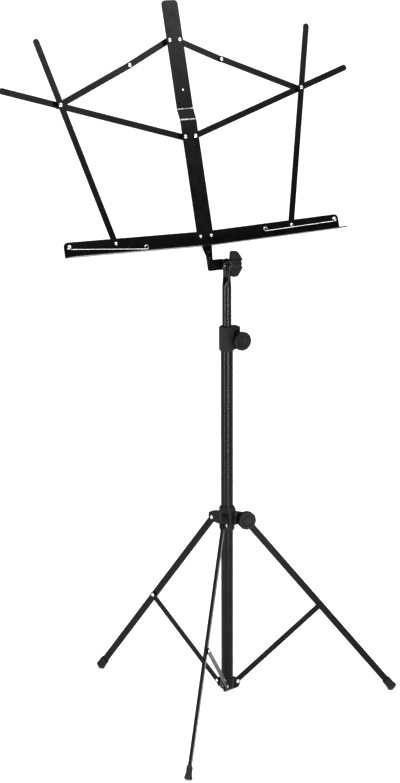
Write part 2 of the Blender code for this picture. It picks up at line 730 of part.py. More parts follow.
def build_spine(desk):
    """The centre strap: a side profile with a joggle, trimmed to the front outline."""
    half = BAR_THICKNESS / 2
    low = TONGUE_END_V - 5 * MM
    high = SPINE_TOP_V + 5 * MM
    side = [
        (low, -half),
        (JOGGLE_LOW_V, -half),
        (JOGGLE_HIGH_V, -half - JOGGLE),
        (high, -half - JOGGLE),
        (high, half - JOGGLE),
        (JOGGLE_HIGH_V, half - JOGGLE),
        (JOGGLE_LOW_V, half),
        (low, half),
    ]
    mesh = sheet_mesh("spine", [side], -20 * MM, 20 * MM)
    across = frame((0, 0, 0), Vector((0, 1, 0)), Vector((0, 0, 1)), Vector((1, 0, 0)))
    mesh.transform(across)
    spine = add_part("spine", mesh, PAINTED_STEEL, on_desk(0, 0), desk)
    wide = SPINE_WIDTH / 2
    corner = 6.5 * MM
    neck = 9.2 * MM
    toe = 4.6 * MM
    outline = arc((wide - corner, SPINE_TOP_V - corner), corner, 0.0, 90.0, 6)
    outline += arc((corner - wide, SPINE_TOP_V - corner), corner, 90.0, 180.0, 6)
    outline += [(-wide, -6 * MM), (-neck, -15 * MM), (-neck + MM, -20 * MM)]
    outline += [(TONGUE_U - toe, -36 * MM)]
    outline += arc((TONGUE_U, TONGUE_END_V + toe), toe, 180.0, 360.0, 9)
    outline += [(TONGUE_U + toe, -36 * MM), (neck - MM, -22 * MM), (neck, -15 * MM), (wide, -6 * MM)]
    holes = []
    for pivot in (PIVOT_A, PIVOT_D, PIVOT_F):
        holes += [circle((pivot.x, pivot.y), RIVET_HOLE), circle((-pivot.x, pivot.y), RIVET_HOLE)]
    holes += [circle((TONGUE_U, v), RIVET_HOLE) for v in BRACKET_RIVETS_V]
    holes += [circle((1.5 * MM, 239 * MM), 2.0 * MM)]
    trim = sheet_mesh("spine_outline", [outline] + holes, -20 * MM, 20 * MM)
    combine(spine, add_cutter("spine_outline", trim, on_desk(0, 0), desk), "INTERSECT")


def build_bracket(desk):
    """The strap behind the spine's tongue, with the arm and the ear that the tilt bolt clamps."""
    ear_right = -FLAT_HALF_THICKNESS - GAP
    ear_left = ear_right - BRACKET_SHEET
    middle = DESK_OFFSET_U + TONGUE_U
    strip_left = middle - 4.5 * MM
    strip_right = middle + 4.5 * MM
    arm_low = -6.5 * MM
    arm_high = 11.0 * MM
    strip_top = DESK_OFFSET_V - 17.5 * MM
    round_low = arc((strip_left + 3 * MM, arm_low + 3 * MM), 3 * MM, 180.0, 270.0, 5)
    outline = round_low + [
        (ear_right, arm_low),
        (ear_right, arm_high),
        (strip_right + 2 * MM, arm_high),
        (strip_right, arm_high + 2 * MM),
        (strip_right, strip_top),
        (strip_left, strip_top),
    ]
    holes = [circle((middle, DESK_OFFSET_V + v), RIVET_HOLE) for v in BRACKET_RIVETS_V]
    front = DESK_OFFSET_N + BRACKET_FRONT
    back = front - BRACKET_SHEET
    plate = sheet_mesh("tilt_bracket", [outline] + holes, back, front)
    bracket = add_part("tilt_bracket", plate, PAINTED_STEEL, parent=desk)
    radius = 9.5 * MM
    rear = back + 0.5 * MM
    ear_outline = arc((0.0, 0.0), radius, -90.0, 90.0, 13)
    ear_outline += [(rear, arm_high - MM / 2), (rear, arm_low + MM / 2)]
    ear = sheet_mesh("bracket_ear", [ear_outline], ear_left, ear_right)
    ear.transform(frame((0, 0, 0), Vector((0, 0, 1)), Vector((0, 1, 0)), Vector((-1, 0, 0))))
    ear.transform(Matrix.Translation((ear_left + ear_right, 0, 0)))
    combine(bracket, add_cutter("bracket_ear", ear, None, desk), "UNION")
    hole = rod_mesh("bracket_hole", BOLT_RADIUS + GAP, -20 * MM, 20 * MM)
    combine(bracket, add_cutter("bracket_hole", hole, TILT_MATRIX), "DIFFERENCE")
    for name, v in zip(("bracket_rivet_upper", "bracket_rivet_lower"), BRACKET_RIVETS_V):
        add_rivet(name, SPINE_FRONT, BRACKET_FRONT - BRACKET_SHEET, on_desk(TONGUE_U, v), desk)


def build_tilt_bolt():
    """The bolt through ear and tube, its washer and the wing knob screwed on its end."""
    head_seat = -FLAT_HALF_THICKNESS - GAP - BRACKET_SHEET - GAP
    bolt_end = 17.0 * MM
    points = [
        (0.0, bolt_end),
        (BOLT_RADIUS - 0.6 * MM, bolt_end),
        (BOLT_RADIUS, bolt_end - 0.8 * MM),
        (BOLT_RADIUS, head_seat),
        (6.4 * MM, head_seat),
        (5.6 * MM, head_seat - 1.6 * MM),
        (3.4 * MM, head_seat - 2.7 * MM),
        (0.0, head_seat - 3.1 * MM),
    ]
    add_turned("tilt_bolt", points, ZINC, TILT_MATRIX, steps=24)
    washer_low = FLAT_HALF_THICKNESS + GAP
    washer_high = washer_low + 1.4 * MM
    bore = BOLT_RADIUS + GAP
    ring = [(8.0 * MM, washer_high), (8.0 * MM, washer_low), (bore, washer_low), (bore, washer_high)]
    add_turned("tilt_washer", ring, ZINC, TILT_MATRIX, steps=28, closed=True)
    knob_seat = washer_high + GAP
    add_wing_knob(knob_seat, bolt_end)


def add_wing_knob(seat, bolt_end):
    hub = [
        (0.0, seat + 21.0 * MM),
        (5.5 * MM, seat + 20.6 * MM),
        (8.6 * MM, seat + 18.0 * MM),
        (8.8 * MM, seat + 3.0 * MM),
        (7.4 * MM, seat),
        (BOLT_RADIUS + GAP, seat),
        (BOLT_RADIUS + GAP, bolt_end + GAP),
        (0.0, bolt_end + GAP),
    ]
    knob = add_turned("wing_knob", hub, PLASTIC, TILT_MATRIX, steps=28)
    # One wing as (radius, height above the seat) in millimetres, from its root round its tip.
    wing = [(4.6, 2.0), (6.2, 2.0), (19.5, 3.0), (20.6, 5.0), (20.6, 13.0), (19.0, 15.0)]
    wing += [(14.0, 18.5), (7.5, 22.5), (5.5, 23.2), (4.6, 21.5)]
    for side in (-1, 1):
        outline = [(side * r * MM, seat + a * MM) for r, a in wing]
        name = "wing_up" if side > 0 else "wing_down"
        blade = sheet_mesh(name, [outline], -4.0 * MM, 4.0 * MM)
        blade.transform(Matrix.Rotation(math.radians(90), 4, "X"))
        blade.transform(Matrix.Rotation(math.radians(90), 4, "Z"))
        combine(knob, add_cutter(name, blade, TILT_MATRIX), "UNION")


def build_tray(desk, side, label):
    """One half of the tray: a back plate with its shelf, pivoted beside the spine."""
    place = on_desk(side * PIVOT_A.x, PIVOT_A.y, side * TRAY_SLOPE)
    axis = add_empty(f"tray_axis_{label}", place, desk)
    top = TRAY_TOP
    inner_angle = math.degrees(math.asin(top / TRAY_INNER_END))
    low = TRAY_BOTTOM - TRAY_SHEET
    outline = [(-TRAY_INNER_END, low)]
    outline += arc((0.0, 0.0), TRAY_INNER_END, 180.0, 180.0 - inner_angle, 7)
    corner = 7.0 * MM
    outline += arc((TRAY_OUTER_END - corner, top - corner), corner, 90.0, 0.0, 6)
    outline += [(TRAY_OUTER_END, low)]
    # Each hole starts at its own angle, so that no three of their corners share a line.
    places = (0.0, TRAY_TO_UPRIGHT, TRAY_TO_WIRE)
    holes = [circle((x, 0.0), RIVET_HOLE, start=7.0 * i) for i, x in enumerate(places)]
    shape = [mirrored(loop, side) for loop in [outline] + holes]
    front = TRAY_BACK + TRAY_SHEET
    plate = sheet_mesh(f"tray_{label}", shape, TRAY_BACK, front)
    tray = add_part(f"tray_{label}", plate, PAINTED_STEEL, parent=axis)
    inset = 0.05 * MM
    rear = TRAY_BACK + TRAY_SHEET / 2
    end = TRAY_OUTER_END - inset
    shelf_outline = [(inset - TRAY_INNER_END, rear), (end, rear)]
    shelf_outline += arc((end - corner, SHELF_DEPTH - corner), corner, 0.0, 90.0, 6)
    shelf_outline += [(inset - TRAY_INNER_END, SHELF_DEPTH)]
    shelf = sheet_mesh(f"shelf_{label}", [mirrored(shelf_outline, side)], -TRAY_BOTTOM, -low - inset)
    shelf.transform(Matrix.Rotation(math.radians(90), 4, "X"))
    combine(tray, add_cutter(f"shelf_{label}", shelf, None, axis), "UNION")
    at_pivot = on_desk(side * PIVOT_A.x, PIVOT_A.y)
    add_rivet(f"tray_rivet_{label}", front, -SPINE_FRONT, at_pivot, desk)
    build_wire(axis, side, label, front)
    return axis


def mirrored(loop, side):
    return [(side * x, y) for x, y in loop]


def build_wire(axis, side, label, plate_front):
    """The page holder: a wire with an eye at each end, turning on a rivet near the tray's end."""
    droop = math.radians(0.5 if side > 0 else 4.0)
    place = Matrix.Translation((side * TRAY_TO_WIRE, 0, 0)) @ Matrix.Rotation(side * droop, 4, "Z")
    near = arc((0.0, 0.0), WIRE_EYE, 200.0, -90.0, 13)
    far = arc((-WIRE_LENGTH, 0.0), WIRE_EYE, -90.0, -380.0, 13)
    route = [(side * x, y) for x, y in near + far]
    curve = bpy.data.curves.new(f"page_wire_{label}", "CURVE")
    curve.dimensions = "3D"
    curve.bevel_depth = WIRE_RADIUS
    curve.bevel_resolution = 2
    curve.use_fill_caps = True
    spline = curve.splines.new("POLY")
    spline.points.add(len(route) - 1)
    for point, (x, y) in zip(spline.points, route):
        point.co = (x, y, 0.0, 1.0)
    mesh = mesh_from_curve(f"page_wire_{label}", curve, WIRE_N)
    add_part(f"page_wire_{label}", mesh, WIRE_STEEL, place, axis)
    head_seat = WIRE_N + WIRE_RADIUS + GAP
    collar = [(WIRE_N - WIRE_RADIUS - 0.2 * MM, plate_front, 2.8 * MM)]
    pin = Matrix.Translation((side * TRAY_TO_WIRE, 0, 0))
    add_rivet(f"wire_rivet_{label}", head_seat, TRAY_BACK, pin, axis, collar)


def bar_mesh(name, length, holes_at, front):
    outline = slot(length, BAR_WIDTH)
    holes = [circle((x, 0.0), RIVET_HOLE) for x in holes_at]
    return sheet_mesh(name, [outline] + holes, front - BAR_THICKNESS, front)


def bar_on_desk(side, start, end):
    """The place of a bar that starts at one pivot and points at another, on either side."""
    angle = direction(start, end)
    if side < 0:
        angle = math.pi - angle
    return on_desk(side * start.x, start.y, angle)


def build_bars(desk, side, label):
    upright = bar_mesh(f"upright_{label}", UPRIGHT_LENGTH, (0.0, UPRIGHT_TO_CROSSING), UPRIGHT_FRONT)
    add_part(f"upright_{label}", upright, PAINTED_STEEL, bar_on_desk(side, PIVOT_B, PIVOT_C), desk)
    diagonal = bar_mesh(f"diagonal_{label}", DIAGONAL_LENGTH, (0.0,), DIAGONAL_FRONT)
    add_part(f"diagonal_{label}", diagonal, PAINTED_STEEL, bar_on_desk(side, PIVOT_D, PIVOT_C), desk)
    inner = bar_mesh(f"inner_link_{label}", INNER_LINK, (0.0, INNER_LINK), INNER_LINK_FRONT)
    add_part(f"inner_link_{label}", inner, PAINTED_STEEL, bar_on_desk(side, PIVOT_F, PIVOT_E), desk)
    outer = bar_mesh(f"outer_link_{label}", OUTER_LINK, (0.0,), OUTER_LINK_FRONT)
    add_part(f"outer_link_{label}", outer, PAINTED_STEEL, bar_on_desk(side, PIVOT_E, PIVOT_C), desk)

    def at(pivot):
        return on_desk(side * pivot.x, pivot.y)

    wide = 3.4 * MM
    tray_front = TRAY_BACK + TRAY_SHEET
    upright_back = UPRIGHT_FRONT - BAR_THICKNESS
    spacer = [(TRAY_BACK, UPRIGHT_FRONT, wide)]
    add_rivet(f"upright_rivet_{label}", tray_front, upright_back, at(PIVOT_B), desk, spacer)
    diagonal_back = DIAGONAL_FRONT - BAR_THICKNESS
    spacer = [(-SPINE_FRONT, DIAGONAL_FRONT, wide)]
    add_rivet(f"diagonal_rivet_{label}", SPINE_FRONT, diagonal_back, at(PIVOT_D), desk, spacer)
    inner_back = INNER_LINK_FRONT - BAR_THICKNESS
    spacer = [(-SPINE_FRONT - JOGGLE, INNER_LINK_FRONT, wide)]
    add_rivet(f"top_rivet_{label}", SPINE_FRONT - JOGGLE, inner_back, at(PIVOT_F), desk, spacer)
    add_rivet(f"elbow_rivet_{label}", OUTER_LINK_FRONT, inner_back, at(PIVOT_E), desk)
    # The crossing's rivet and its spacer stop short of the diagonal, which turns freely behind it.
    reach = DIAGONAL_FRONT + GAP
    points = rivet_profile(UPRIGHT_FRONT, 0.0)[:5]
    points += [(RIVET_SHANK, upright_back), (wide, upright_back), (wide, reach), (0.0, reach)]
    add_turned(f"crossing_rivet_{label}", points, NICKEL, at(PIVOT_C), desk, steps=16)


# ---- Assembly ----------------------------------------------------------------------
def build_stand():
    build_outer_tube()
    build_inner_tube()
    build_guide_bush()
    build_clamp_collar()
    add_clamp_knob("clamp_knob", CLAMP_SCREW, 7.1 * MM, 5.3 * MM, 9.0 * MM)
    build_leg_collar()
    knob_seat = LEG_WIDTH / 2 + LEG_PLAY + CHEEK_THICKNESS + 0.6 * MM
    add_clamp_knob("collar_knob", COLLAR_SCREW, knob_seat, 1.8 * MM, 8.0 * MM)
    build_lower_hub()
    for number, azimuth in enumerate(LEG_AZIMUTHS, 1):
        build_leg(number, azimuth)
        build_brace(number, azimuth)
    desk = tilt_axis_empty()
    build_spine(desk)
    build_bracket(desk)
    build_tilt_bolt()
    for side, label in ((-1, "left"), (1, "right")):
        build_tray(desk, side, label)
        build_bars(desk, side, label)


build_stand()
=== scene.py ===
"""Looks of the folding music stand: finer pieces, materials, floor, light and camera.

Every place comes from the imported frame. Lengths are in metres, written as a number of MM.
"""

import json
import math

import bmesh
import bpy
from mathutils import Matrix, Vector


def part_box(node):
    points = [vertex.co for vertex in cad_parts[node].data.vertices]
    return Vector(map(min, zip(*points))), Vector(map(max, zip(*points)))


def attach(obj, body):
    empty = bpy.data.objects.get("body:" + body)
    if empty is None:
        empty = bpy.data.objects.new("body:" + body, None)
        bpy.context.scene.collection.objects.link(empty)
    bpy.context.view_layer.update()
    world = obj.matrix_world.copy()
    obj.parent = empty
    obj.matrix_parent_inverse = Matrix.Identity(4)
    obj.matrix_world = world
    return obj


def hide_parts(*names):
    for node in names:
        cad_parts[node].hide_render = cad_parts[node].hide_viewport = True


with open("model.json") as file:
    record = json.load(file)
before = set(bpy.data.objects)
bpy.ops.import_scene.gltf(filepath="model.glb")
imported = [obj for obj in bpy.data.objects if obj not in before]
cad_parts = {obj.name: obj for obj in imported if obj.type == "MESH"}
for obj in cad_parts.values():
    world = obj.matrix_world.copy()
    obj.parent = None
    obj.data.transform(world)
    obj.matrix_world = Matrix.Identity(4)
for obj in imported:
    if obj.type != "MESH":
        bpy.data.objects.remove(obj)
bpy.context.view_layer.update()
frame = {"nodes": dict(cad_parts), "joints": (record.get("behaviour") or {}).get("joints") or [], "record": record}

MM = 0.001
X = Vector((1.0, 0.0, 0.0))
UP = Vector((0.0, 0.0, 1.0))
NODES = frame["nodes"]
JOINTS = {joint["name"]: joint for joint in frame["joints"]}
BODY_OF = {n: body for body, nodes in frame["record"]["behaviour"]["bodies"].items() for n in nodes}
SLOT_OF = {part["node"]: part["material_slot"] for part in frame["record"]["subparts"]}
SIDES = ((-1, "left"), (1, "right"))

# A length that counts as nothing, the distance at which points are welded, and the grid on which
# a turned node's profile points are compared.
NOTHING = 0.001 * MM
SAME_POINT = 0.01 * MM
PROFILE_GRID = 0.05 * MM

# Faces that meet at less than the first angle are merged, and edges sharper than the second are rounded.
FLAT_WITHIN = math.radians(0.5)
SHARP_FROM = math.radians(32.0)

# Sizes that the finer pieces share with the CAD.
SPINE_SHEET = 2.0 * MM
JOGGLE_LOW = 190.0 * MM
JOGGLE_HIGH = 208.0 * MM
SPARE_HOLE = (1.5 * MM, 239.0 * MM)
TONGUE_U = 2.2 * MM
TRAY_SHEET = 1.4 * MM
WIRE_EYE = 3.1 * MM
WIRE_RADIUS = 0.9 * MM
WIRE_ROUNDING = 3

# The spine: its strip's half width before cutting, corner and bend radii, spare hole, the tongue's
# round end, and how far from a bend's middle the painted highlight reaches.
SPINE_HALF = 20 * MM
SPINE_CORNER = 6.5 * MM
JOGGLE_BEND = 7 * MM
SPARE_HOLE_RADIUS = 2 * MM
TONGUE_TOE = 4.6 * MM
BEND_HIGHLIGHT_REACH = 1.1 * MM

# A knob's cap: how far its face is below the knob's, and its (radius, height) profile in millimetres.
CAP_DEPTH = 1.05 * MM
CAP_PROFILE = ((0.0, 0.35), (3.0, 0.45), (6.4, 0.9), (7.6, 0.8), (7.9, 0.1), (7.9, -0.4), (0.0, -0.4))

# The leg collar's pads: half width, top and bottom seen from the collar's top, and their inner and
# outer faces' distance from the tube's axis.
PAD_HALF = 5.0 * MM
PAD_TOP = -4.0 * MM
PAD_BOTTOM = -10.6 * MM
PAD_REACH = (10.2 * MM, 13.5 * MM)

# The tray's fold radius, outer corners and the shelf's inner chamfer.
TRAY_BEND = 2.1 * MM
TRAY_CORNER = 7 * MM
SHELF_CHAMFER = 1.5 * MM

# How far the shapes that cut the sheets reach to either side of them.
CUT_BELOW = 20 * MM
CUT_ABOVE = 30 * MM

# The camera stands at the reader's left, higher than the desk, and looks down at the stand.
CAMERA_PLACE = (-1.8632, -3.2059, 1.4940)
CAMERA_DOWN = math.radians(14.27)
CAMERA_TURN = math.radians(-30.98)
CAMERA_LENS = 107.4
CAMERA_SHIFT = -0.0465
SENSOR_HEIGHT = 36.0
VIEW_GAMMA = 0.85

# The sky's strength in reflections: dim up to one height of its unit sphere, full from another.
DIM_SKY = 0.05
CEILING = 2.15
DIM_UP_TO = 0.42
FULL_FROM = 0.74

# Half the floor's width.
FLOOR_HALF = 60.0

# Each soft box: name, azimuth in degrees, distance, width, height, watts, height of its lower edge.
STRIPS = (
    ("mast_left", -164.0, 1.45, 0.14, 0.30, 3.5, 0.01),
    ("mast_right", -99.0, 1.45, 0.14, 0.30, 9.0, 0.01),
    ("stem_left", -167.0, 1.45, 0.14, 0.34, 12.0, 0.33),
    ("stem_right", -88.0, 1.45, 0.14, 0.34, 13.0, 0.33),
    ("high_panel", -57.0, 2.4, 1.10, 0.9, 24.0, 2.10),
)


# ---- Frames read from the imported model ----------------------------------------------
def pivot(name):
    return Vector(JOINTS[name]["pos_m"])


def axis(name):
    return Vector(JOINTS[name]["axis"]).normalized()


def axes_frame(origin, x_axis, y_axis, z_axis):
    turned = Matrix((x_axis, y_axis, z_axis)).transposed()
    return Matrix.Translation(origin) @ turned.to_4x4()


def frame_along(origin, direction):
    """A frame whose local Z points in a direction."""
    return Matrix.Translation(origin) @ direction.to_track_quat("Z", "Y").to_matrix().to_4x4()


def local_points(node, matrix):
    inverse = matrix.inverted()
    return [inverse @ vert.co for vert in NODES[node].data.vertices]


def local_box(node, matrix):
    """Lowest and highest corner of a CAD node in a frame's own axes."""
    points = local_points(node, matrix)
    low = Vector([min(p[i] for p in points) for i in range(3)])
    high = Vector([max(p[i] for p in points) for i in range(3)])
    return low, high


DESK_NORMAL = axis("tray_fold_right")
DESK_UP = DESK_NORMAL.cross(X)
DESK = axes_frame((pivot("tray_fold_left") + pivot("tray_fold_right")) / 2, X, DESK_UP, DESK_NORMAL)
# Turns a frame so that a side view, given as (up, out), is extruded along local X.
SIDE_VIEW = axes_frame((0, 0, 0), Vector((0, 1, 0)), UP, X)
# Turns a frame so that a plan, given as (along, out), is extruded down, against local Y.
PLAN_VIEW = axes_frame((0, 0, 0), X, UP, Vector((0, -1, 0)))
ACROSS = {n: axis(f"leg_fold_{n}") for n in (1, 2, 3)}


def tray_frame(side, label):
    """Local X runs from the tray's pivot to its outer end, on either side."""
    start = pivot(f"tray_fold_{label}")
    along = (pivot(f"upright_fold_{label}") - start).normalized()
    return axes_frame(start, along, DESK_NORMAL.cross(along) * side, DESK_NORMAL)


# ---- Mesh helpers -------------------------------------------------------------------
def arc(centre, radius, start, end, count):
    """Points on an arc, angles in degrees, both ends included."""
    angles = [math.radians(start + (end - start) * i / (count - 1)) for i in range(count)]
    return [(centre[0] + radius * math.cos(a), centre[1] + radius * math.sin(a)) for a in angles]


def filleted(points, radius, count=7):
    """A line of points with each inner corner rounded to a radius."""
    line = [Vector(points[0])]
    for before, corner, after in zip(points, points[1:], points[2:]):
        corner = Vector(corner)
        back = (Vector(before) - corner).normalized()
        on = (Vector(after) - corner).normalized()
        half = back.angle(on) / 2
        reach = radius / math.tan(half)
        centre = corner + (back + on).normalized() * (radius / math.sin(half))
        start = corner + back * reach - centre
        end = corner + on * reach - centre
        sweep = start.angle_signed(end)
        for i in range(count):
            turned = start.copy()
            turned.rotate(Matrix.Rotation(-sweep * i / (count - 1), 2))
            line.append(centre + turned)
    line.append(Vector(points[-1]))
    return line


def ribbon(line, thickness):
    """The closed outline of a sheet whose middle follows a line."""
    sides = ([], [])
    for i, point in enumerate(line):
        ahead = (line[min(i + 1, len(line) - 1)] - line[max(i - 1, 0)]).normalized()
        across = Vector((-ahead.y, ahead.x)) * thickness / 2
        sides[0].append(tuple(point + across))
        sides[1].append(tuple(point - across))
    return sides[0] + sides[1][::-1]


def object_from_bmesh(name, bm, matrix=None):
    bmesh.ops.recalc_face_normals(bm, faces=bm.faces[:])
    mesh = bpy.data.meshes.new(name)
    bm.to_mesh(mesh)
    bm.free()
    if matrix:
        mesh.transform(matrix)
        if matrix.determinant() < 0:
            mesh.flip_normals()
    obj = bpy.data.objects.new(name, mesh)
    bpy.context.scene.collection.objects.link(obj)
    return obj


def prism(name, outline, low, high, matrix):
    """A closed outline in local XY, filled and extruded along local Z from low to high."""
    bm = bmesh.new()
    loop = [bm.verts.new((x, y, low)) for x, y in outline]
    face = bm.faces.new(loop)
    made = bmesh.ops.extrude_face_region(bm, geom=[face])
    moved = [item for item in made["geom"] if isinstance(item, bmesh.types.BMVert)]
    bmesh.ops.translate(bm, verts=moved, vec=(0, 0, high - low))
    return object_from_bmesh(name, bm, matrix)


def lathe(name, profile, matrix, steps, closed=False):
    """A profile of (radius, height) turned about the frame's local Z."""
    bm = bmesh.new()
    turns = [2 * math.pi * i / steps for i in range(steps)]
    rings = []
    for radius, height in profile:
        if radius < NOTHING:
            rings.append([bm.verts.new((0, 0, height))])
            continue
        ring = [(radius * math.cos(turn), radius * math.sin(turn)) for turn in turns]
        rings.append([bm.verts.new((x, y, height)) for x, y in ring])
    pairs = list(zip(rings, rings[1:]))
    if closed:
        pairs.append((rings[-1], rings[0]))
    for one, other in pairs:
        join_rings(bm, one, other)
    return object_from_bmesh(name, bm, matrix)


def join_rings(bm, one, other):
    """Faces between two rings of points, either of which may be a single point."""
    count = max(len(one), len(other))
    if count == 1:
        return
    for i in range(count):
        j = (i + 1) % count
        corners = [one[i % len(one)], one[j % len(one)], other[j % len(other)], other[i % len(other)]]
        bm.faces.new(list(dict.fromkeys(corners)))


def tube_along(name, points, radius, matrix):
    """A round wire along points, with flat ends."""
    curve = bpy.data.curves.new(name, "CURVE")
    curve.dimensions = "3D"
    curve.bevel_depth = radius
    curve.bevel_resolution = WIRE_ROUNDING
    curve.use_fill_caps = True
    spline = curve.splines.new("POLY")
    spline.points.add(len(points) - 1)
    for point, place in zip(spline.points, points):
        point.co = (*place, 1.0)
    guide = bpy.data.objects.new(name + "_guide", curve)
    bpy.context.scene.collection.objects.link(guide)
    graph = bpy.context.evaluated_depsgraph_get()
    mesh = bpy.data.meshes.new_from_object(guide.evaluated_get(graph))
    bpy.data.objects.remove(guide)
    bm = bmesh.new()
    bm.from_mesh(mesh)
    bmesh.ops.remove_doubles(bm, verts=bm.verts[:], dist=NOTHING)
    bpy.data.meshes.remove(mesh)
    return object_from_bmesh(name, bm, matrix)


def apply_modifiers(obj):
    graph = bpy.context.evaluated_depsgraph_get()
    mesh = bpy.data.meshes.new_from_object(obj.evaluated_get(graph))
    obj.modifiers.clear()
    obj.data = mesh


def combine(obj, other, operation):
    """A Boolean with another piece, which is used up."""
    modifier = obj.modifiers.new(operation.lower(), "BOOLEAN")
    modifier.operation = operation
    modifier.solver = "EXACT"
    modifier.object = other
    apply_modifiers(obj)
    bpy.data.objects.remove(other)


def soften(obj, width, segments):
    """Rounds the sharp edges, and shades flat faces flat and round ones round."""
    for polygon in obj.data.polygons:
        polygon.use_smooth = True
    weld = obj.modifiers.new("weld", "WELD")
    weld.merge_threshold = SAME_POINT
    flat = obj.modifiers.new("merge_flat", "DECIMATE")
    flat.decimate_type = "DISSOLVE"
    flat.angle_limit = FLAT_WITHIN
    bevel = obj.modifiers.new("edges", "BEVEL")
    bevel.width = width
    bevel.segments = segments
    bevel.limit_method = "ANGLE"
    bevel.angle_limit = SHARP_FROM
    weighted = obj.modifiers.new("shading", "WEIGHTED_NORMAL")
    weighted.keep_sharp = False
    weighted.weight = 80


def settle(piece, node, material, width, segments=2):
    """A new piece takes a CAD node's body, slot and place in the picture."""
    piece.data.materials.clear()
    piece.data.materials.append(material)
    soften(piece, width, segments)
    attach(piece, BODY_OF[node])
    return piece


# ---- Shader helpers -----------------------------------------------------------------
class Shader:
    """One procedural material, built node by node on the piece's own coordinates."""

    def __init__(self, name):
        self.material = bpy.data.materials.new(name)
        self.material.use_nodes = True
        self.tree = self.material.node_tree
        self.surface = self.tree.nodes["Principled BSDF"]
        self.place = self.tree.nodes.new("ShaderNodeTexCoord").outputs["Object"]

    def node(self, kind, **inputs):
        made = self.tree.nodes.new(kind)
        for name, value in inputs.items():
            self.feed(made.inputs[name.replace("_", " ")], value)
        return made

    def feed(self, socket, value):
        if isinstance(value, bpy.types.NodeSocket):
            self.tree.links.new(value, socket)
        else:
            socket.default_value = value

    def stretched(self, scale):
        return self.node("ShaderNodeMapping", Vector=self.place, Scale=scale).outputs["Vector"]

    def noise(self, scale, detail=4.0, place=None):
        made = self.node("ShaderNodeTexNoise", Vector=place or self.place, Scale=scale, Detail=detail)
        return made.outputs["Fac"]

    def spread(self, value, low, high, start=0.3, end=0.7):
        """A value between start and end becomes one between low and high."""
        made = self.node("ShaderNodeMapRange", Value=value)
        for name, number in (("From Min", start), ("From Max", end), ("To Min", low), ("To Max", high)):
            made.inputs[name].default_value = number
        return made.outputs["Result"]

    def product(self, one, other):
        made = self.tree.nodes.new("ShaderNodeMath")
        made.operation = "MULTIPLY"
        self.feed(made.inputs[0], one)
        self.feed(made.inputs[1], other)
        return made.outputs["Value"]

    def mix(self, factor, one, other):
        made = self.tree.nodes.new("ShaderNodeMix")
        made.data_type = "RGBA"
        self.feed(made.inputs["Factor"], factor)
        self.feed(made.inputs["A"], (*one, 1.0) if isinstance(one, tuple) else one)
        self.feed(made.inputs["B"], (*other, 1.0))
        return made.outputs["Result"]

    def bump(self, height, strength, depth, below=None):
        made = self.node("ShaderNodeBump", Height=height, Strength=strength, Distance=depth)
        if below:
            self.feed(made.inputs["Normal"], below)
        return made.outputs["Normal"]

    def edges(self, radius):
        """1 on convex and concave edges, 0 on flat faces."""
        rounded = self.tree.nodes.new("ShaderNodeBevel")
        rounded.samples = 4
        rounded.inputs["Radius"].default_value = radius
        true = self.tree.nodes.new("ShaderNodeNewGeometry")
        dot = self.tree.nodes.new("ShaderNodeVectorMath")
        dot.operation = "DOT_PRODUCT"
        self.feed(dot.inputs[0], rounded.outputs["Normal"])
        self.feed(dot.inputs[1], true.outputs["Normal"])
        return self.spread(dot.outputs["Value"], 1.0, 0.0, 0.72, 0.985)

    def finish(self, **inputs):
        for name, value in inputs.items():
            self.feed(self.surface.inputs[name.replace("_", " ")], value)
        return self.material


def enamel(name, gloss, scratches=0.0):
    """Black stoved enamel: orange peel, faint clouding, a painted highlight in patches along the edges, scratches
    along Z.
    """
    s = Shader(name)
    clouds = s.noise(22.0, 5.0)
    colour = s.mix(s.spread(clouds, 0.0, 1.0), (0.002, 0.002, 0.0022), (0.005, 0.005, 0.0054))
    # Painted highlight: convex and concave edges are painted paler, in patches.
    patchy_edge_highlight = s.product(s.edges(0.5 * MM), s.spread(s.noise(160.0, 6.0), 0.0, 0.85, 0.42, 0.62))
    colour = s.mix(patchy_edge_highlight, colour, (0.040, 0.040, 0.042))
    peel = s.bump(s.noise(620.0, 2.0), 0.06, 0.4 * MM)
    specks = s.bump(s.noise(2600.0, 3.0), 0.05, 0.1 * MM, peel)
    if scratches:
        lines = s.noise(1.0, 3.0, s.stretched((2400.0, 2400.0, 9.0)))
        specks = s.bump(s.spread(lines, 0.0, 1.0, 0.55, 0.75), scratches, 0.1 * MM, specks)
    rough = s.spread(s.noise(75.0, 6.0), *gloss)
    return s.finish(Base_Color=colour, Roughness=rough, Normal=specks, Specular_IOR_Level=0.16)


def plastic(name):
    """Moulded black nylon: a fine spark-eroded grain, a duller, slightly uneven face and a painted highlight along
    the edges.
    """
    s = Shader(name)
    clouds = s.noise(45.0, 5.0)
    colour = s.mix(s.spread(clouds, 0.0, 1.0), (0.003, 0.003, 0.0031), (0.007, 0.007, 0.0072))
    # Painted highlight: the edges are painted paler, in patches.
    patchy_edge_highlight = s.product(s.edges(0.6 * MM), s.spread(s.noise(240.0, 5.0), 0.1, 0.7, 0.4, 0.65))
    colour = s.mix(patchy_edge_highlight, colour, (0.045, 0.045, 0.046))
    grain = s.bump(s.noise(1500.0, 4.0), 0.22, 0.2 * MM)
    rough = s.spread(s.noise(120.0, 4.0), 0.38, 0.56)
    return s.finish(Base_Color=colour, Roughness=rough, Normal=grain, Specular_IOR_Level=0.18)


def bright_metal(name, pale, dark, gloss):
    """Plated or drawn metal: fine grain, small tarnished patches and uneven polish."""
    s = Shader(name)
    patches = s.spread(s.noise(420.0, 6.0), 0.0, 1.0, 0.48, 0.74)
    colour = s.mix(patches, pale, dark)
    grain = s.noise(1.0, 4.0, s.stretched((900.0, 900.0, 900.0)))
    rough = s.spread(s.noise(650.0, 5.0), *gloss)
    normal = s.bump(grain, 0.08, 0.1 * MM)
    return s.finish(Base_Color=colour, Roughness=rough, Normal=normal, Metallic=1.0)


